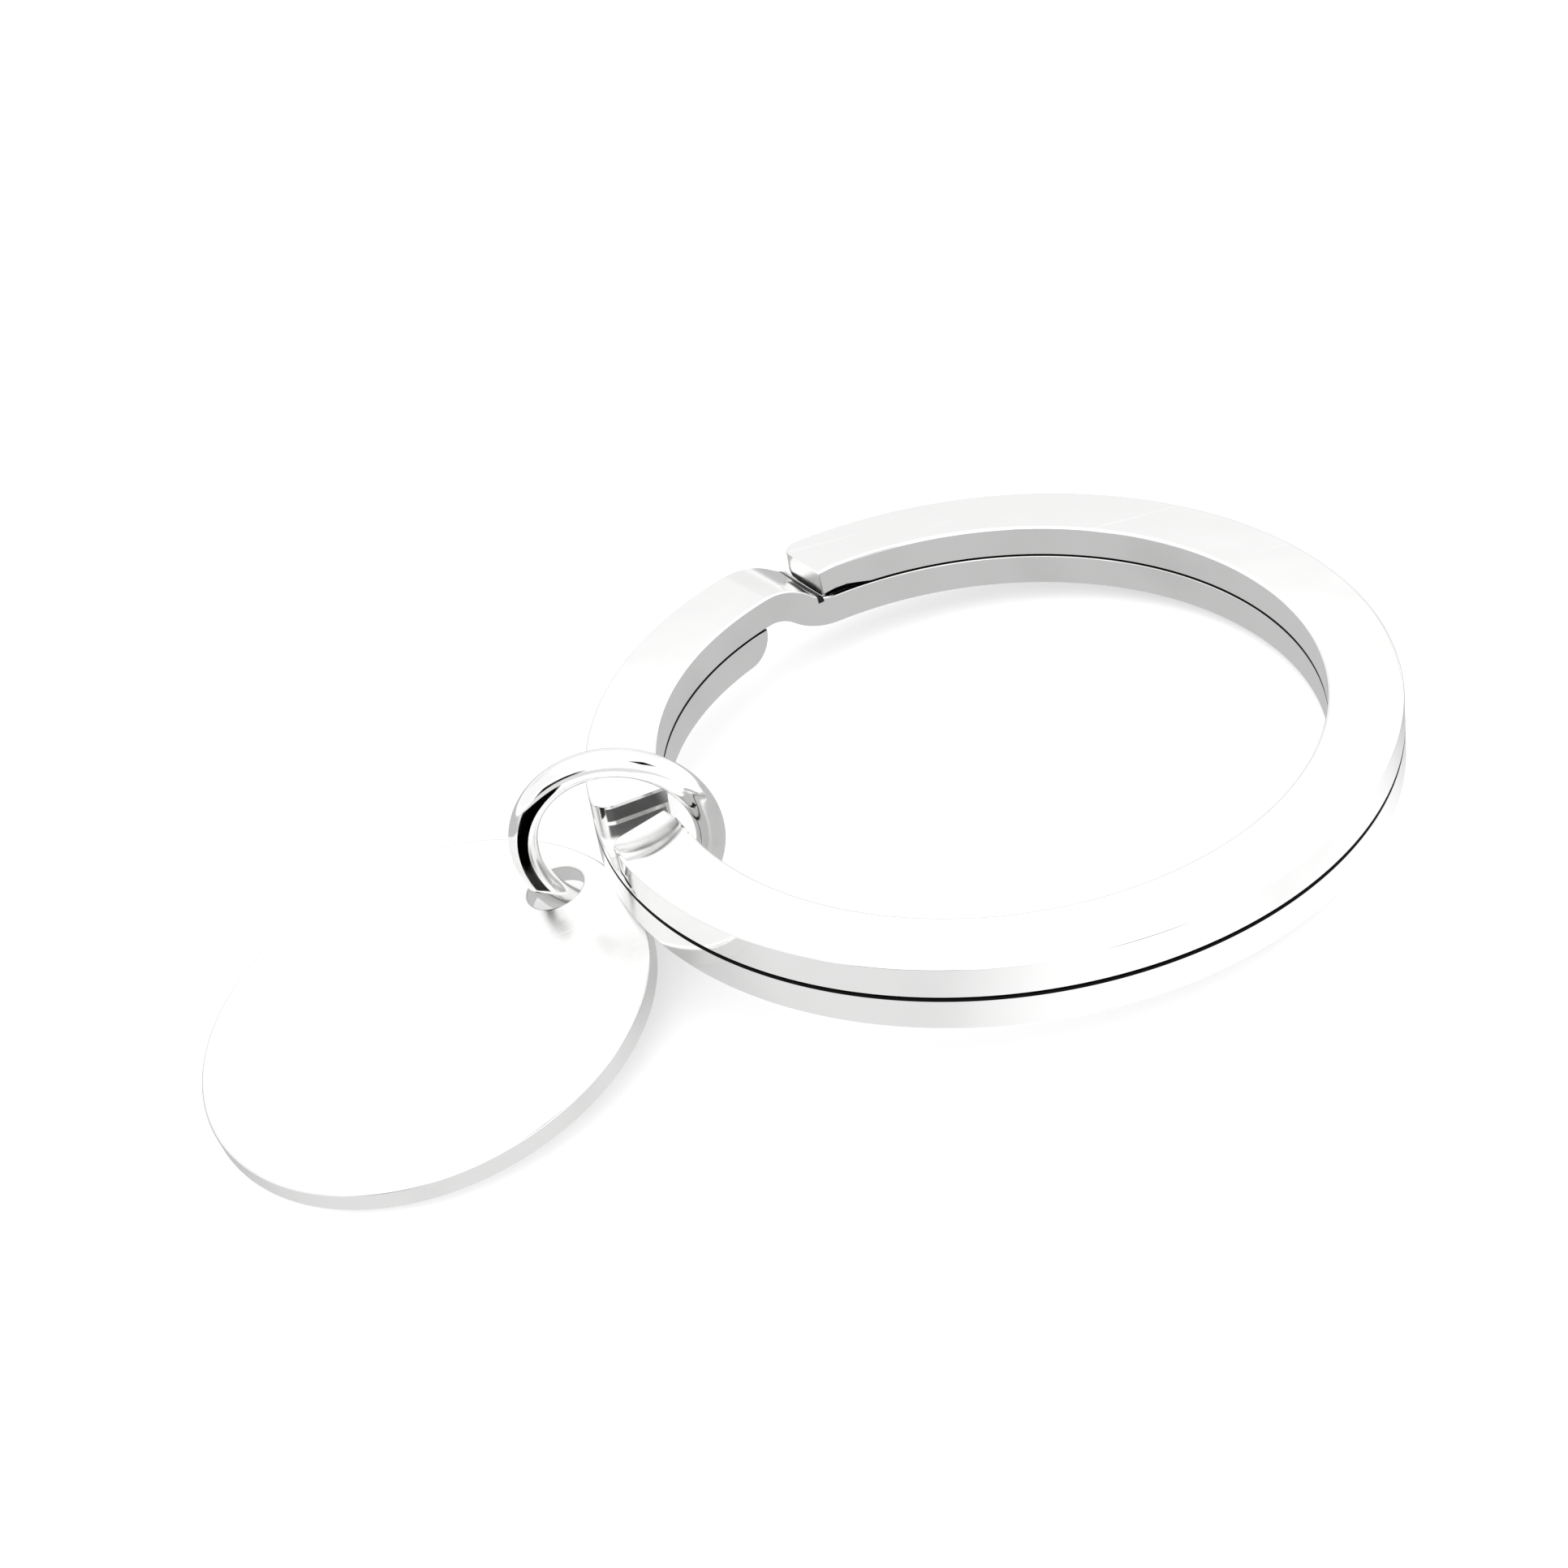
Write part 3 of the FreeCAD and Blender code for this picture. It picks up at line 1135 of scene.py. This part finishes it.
@dataclass
class Studio:
    """White paper, a light tent with dark and grey flags, cards that only the metal sees, and the camera.

    Lengths in metres, angles in degrees. Each flag is its azimuth from +X, its height, half its width, half its
    height and its depth, 0 to 1.
    """

    floor_size: float = 3.0
    bounce_size: float = 0.5
    bounce_grey: float = 0.56
    bounce_front: float = 0.24
    bounce_right: float = 0.30
    bounce_edge: tuple[float, float] = (0.0150, 0.0165)
    bounce_front_fade: tuple[float, float] = (-0.003, -0.013)
    bounce_right_fade: tuple[float, float] = (-0.013, -0.001)
    tent_strength: float = 1.25
    flags: tuple[tuple[float, float, float, float, float], ...] = (
        (-132.0, 6.0, 14.0, 7.0, 1.0), (-64.0, 39.0, 9.0, 7.5, 1.0),
        (170.0, 25.0, 35.0, 20.0, 0.2), (88.0, 19.0, 45.0, 14.0, 0.25),
    )
    shade_side: float = -110.0
    shade_distance: float = 0.003
    shade_back: float = 0.001
    shade_level: float = 0.0012
    shade_size: tuple[float, float] = (0.0045, 0.0054)
    azimuth: float = 6.155
    elevation: float = 36.16
    roll: float = -16.09
    distance: float = 0.13190
    target: tuple[float, float, float] = (-0.00903, 0.00171, 0.0)
    lens: float = 69.97
    clip_start: float = 0.005

    @staticmethod
    def hide_from(surface: bpy.types.Object, rays: SeenBy) -> None:
        """Keep a studio surface out of one kind of ray.

        Args:
            surface: The surface.
            rays: The rays.
        """
        setattr(surface, rays.value, False)

    def floor(self) -> bpy.types.Object:
        """Lay the paper under the object.

        Returns:
            The floor.
        """
        deselect()
        bpy.ops.mesh.primitive_plane_add(size=self.floor_size, location=(0.0, 0.0, CAD_BOX[0][2]))
        paper = bpy.context.object
        paper.name = "studio_floor"
        dress(paper, PaperFloor().material())
        self.hide_from(paper, SeenBy.REFLECTIONS)
        return paper

    def bounce(self) -> bpy.types.Object:
        """Lay the reflector that the metal sees in place of the paper: grey, and lighter to the front right.

        Returns:
            The reflector.
        """
        deselect()
        bpy.ops.mesh.primitive_plane_add(size=self.bounce_size, location=(0.0, 0.0, CAD_BOX[0][2]))
        card = bpy.context.object
        card.name = "studio_bounce"
        made = bpy.data.materials.new("bounce_card")
        made.use_nodes = True
        graph = Graph(made.node_tree)
        place = graph.node("ShaderNodeTexCoord", output="Object")
        parts = graph.raw("ShaderNodeSeparateXYZ", None, {"Vector": place}).outputs
        across, along = Value(graph, parts["X"]), Value(graph, parts["Y"])
        radius = graph.raw("ShaderNodeVectorMath", {"operation": "LENGTH"}, {0: place}).outputs["Value"]
        outside = Value(graph, radius).between(*self.bounce_edge)
        forward = along.between(*self.bounce_front_fade)
        right = across.between(*self.bounce_right_fade)
        glow = outside * forward * (right * self.bounce_right + self.bounce_front) + self.bounce_grey
        light = graph.node("ShaderNodeEmission", None, {"Color": glow, "Strength": 1.0})
        graph.raw("ShaderNodeOutputMaterial", None, {"Surface": light})
        dress(card, made)
        self.hide_from(card, SeenBy.EYE)
        card.visible_diffuse = False
        card.visible_shadow = False
        return card

    def shade(self) -> bpy.types.Object:
        """Stand a small one-sided dark flag in front of the link, which only reflections show.

        Returns:
            The flag.
        """
        low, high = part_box("jump_ring")
        way = math.radians(self.shade_side)
        foot = Vector((low[0] + Link.wire / 2 * MM, (low[1] + high[1]) / 2 + self.shade_back, self.shade_level))
        deselect()
        bpy.ops.mesh.primitive_plane_add(size=1.0)
        card = bpy.context.object
        card.name = "studio_shade"
        facing = Vector((-math.cos(way), -math.sin(way), 0.0)).to_track_quat("Z", "Y").to_matrix().to_4x4()
        spot = foot + Vector((math.cos(way), math.sin(way), 0.0)) * self.shade_distance
        size = Matrix.Diagonal((*self.shade_size, 1.0, 1.0))
        card.matrix_world = Matrix.Translation(spot) @ facing @ size
        made = bpy.data.materials.new("shade_card")
        made.use_nodes = True
        graph = Graph(made.node_tree)
        back = graph.node("ShaderNodeNewGeometry", output="Backfacing")
        dark = graph.node("ShaderNodeEmission", None, {"Strength": 0.0})
        clear = graph.node("ShaderNodeBsdfTransparent")
        shader = graph.node("ShaderNodeMixShader", None, {0: back, 1: dark, 2: clear})
        graph.raw("ShaderNodeOutputMaterial", None, {"Surface": shader})
        dress(card, made)
        self.hide_from(card, SeenBy.EYE)
        card.visible_diffuse = False
        card.visible_shadow = False
        return card

    def tent(self) -> None:
        """Light everything from a white tent with two dark flags beside the camera and two pale grey ones."""
        world = bpy.data.worlds.new("light_tent")
        bpy.context.scene.world = world
        world.use_nodes = True
        graph = Graph(world.node_tree)
        way = graph.node("ShaderNodeTexCoord", output="Generated")
        walls = 1.0
        for azimuth, rise, wide, tall, depth in self.flags:
            walls = (1.0 - self.flag(graph, way, azimuth, rise, wide, tall) * depth) * walls
        background = graph.node("ShaderNodeBackground", None,
                                {"Color": (1.0, 1.0, 1.0, 1.0), "Strength": walls * self.tent_strength})
        graph.raw("ShaderNodeOutputWorld", None, {"Surface": background})

    @staticmethod
    def flag(graph: Graph, way: Value, azimuth: float, rise: float, wide: float, tall: float) -> Value:
        """Mask of a dark flag hung in the tent.

        Args:
            graph: The graph.
            way: Direction looked in.
            azimuth: Direction of the flag's middle, in degrees from +X.
            rise: Height of the flag's middle, in degrees.
            wide: Half its width, in degrees.
            tall: Half its height, in degrees.

        Returns:
            The mask, 1 on the flag.
        """
        turned = graph.node("ShaderNodeVectorRotate", {"rotation_type": "Z_AXIS"},
                            {"Vector": way, "Angle": -math.radians(azimuth)})
        levelled = graph.node("ShaderNodeVectorRotate", {"rotation_type": "Y_AXIS"},
                              {"Vector": turned, "Angle": math.radians(rise)})
        parts = graph.raw("ShaderNodeSeparateXYZ", None, {"Vector": levelled}).outputs
        front, side, up = (Value(graph, part) for part in parts)
        soft = 0.05  # half the width of the soft rim, as a sine
        across = graph.node("ShaderNodeMath", {"operation": "ABSOLUTE"}, {0: side})
        along = graph.node("ShaderNodeMath", {"operation": "ABSOLUTE"}, {0: up})
        reach_side, reach_up = math.sin(math.radians(wide)), math.sin(math.radians(tall))
        return (across.between(reach_side + soft, reach_side - soft)
                * along.between(reach_up + soft, reach_up - soft) * front.between(0.0, 0.1))

    def camera(self) -> bpy.types.Object:
        """Aim the camera at the object.

        Returns:
            The camera.
        """
        data = bpy.data.cameras.new("camera")
        camera = bpy.data.objects.new("camera", data)
        bpy.context.scene.collection.objects.link(camera)
        bpy.context.scene.camera = camera
        data.lens = self.lens
        data.clip_start = self.clip_start
        turn = Matrix.Rotation(-math.radians(self.azimuth), 4, "Z")
        lean = Matrix.Rotation(math.radians(90 - self.elevation), 4, "X")
        tip = Matrix.Rotation(math.radians(self.roll), 4, "Z")
        back = Matrix.Translation((0.0, 0.0, self.distance))
        camera.matrix_world = Matrix.Translation(self.target) @ turn @ lean @ tip @ back
        return camera


def finish_piece(piece: bpy.types.Object, body: str, node: str) -> None:
    """Fix a finished piece to its CAD body in place of its CAD node.

    Args:
        piece: The piece.
        body: The CAD body that it moves with.
        node: The CAD node that it stands for.
    """
    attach(piece, body)
    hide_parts(node)
    LOG.info("%s: %d faces, rides on %s", piece.name, len(piece.data.polygons), body)


def main() -> None:
    """Build the pieces and the studio, camera included."""
    logging.basicConfig(level=logging.INFO)
    ring = SplitRing()
    ring_silver = PolishedSilver("ring_silver", seam_axis=tuple(ring.axis()), marks=ring.marks()).material()
    link_silver = PolishedSilver("link_silver", haze_size=2.0, ripple=0.004).material()
    tag_silver = PolishedSilver("tag_silver", haze_size=5.0, smooth=0.24, hazed=0.32).material()
    finish_piece(ring.lower_turn(ring_silver), "split_ring", "lower_turn")
    finish_piece(ring.upper_turn(ring_silver), "upper_turn", "upper_turn")
    finish_piece(Link().build(link_silver), "jump_ring", "jump_ring")
    finish_piece(Tag().build(tag_silver), "tag", "tag")
    bpy.context.scene.view_settings.view_transform = "Standard"
    studio = Studio()
    studio.floor()
    studio.bounce()
    studio.shade()
    studio.tent()
    studio.camera()


if __name__ == "__main__":
    main()
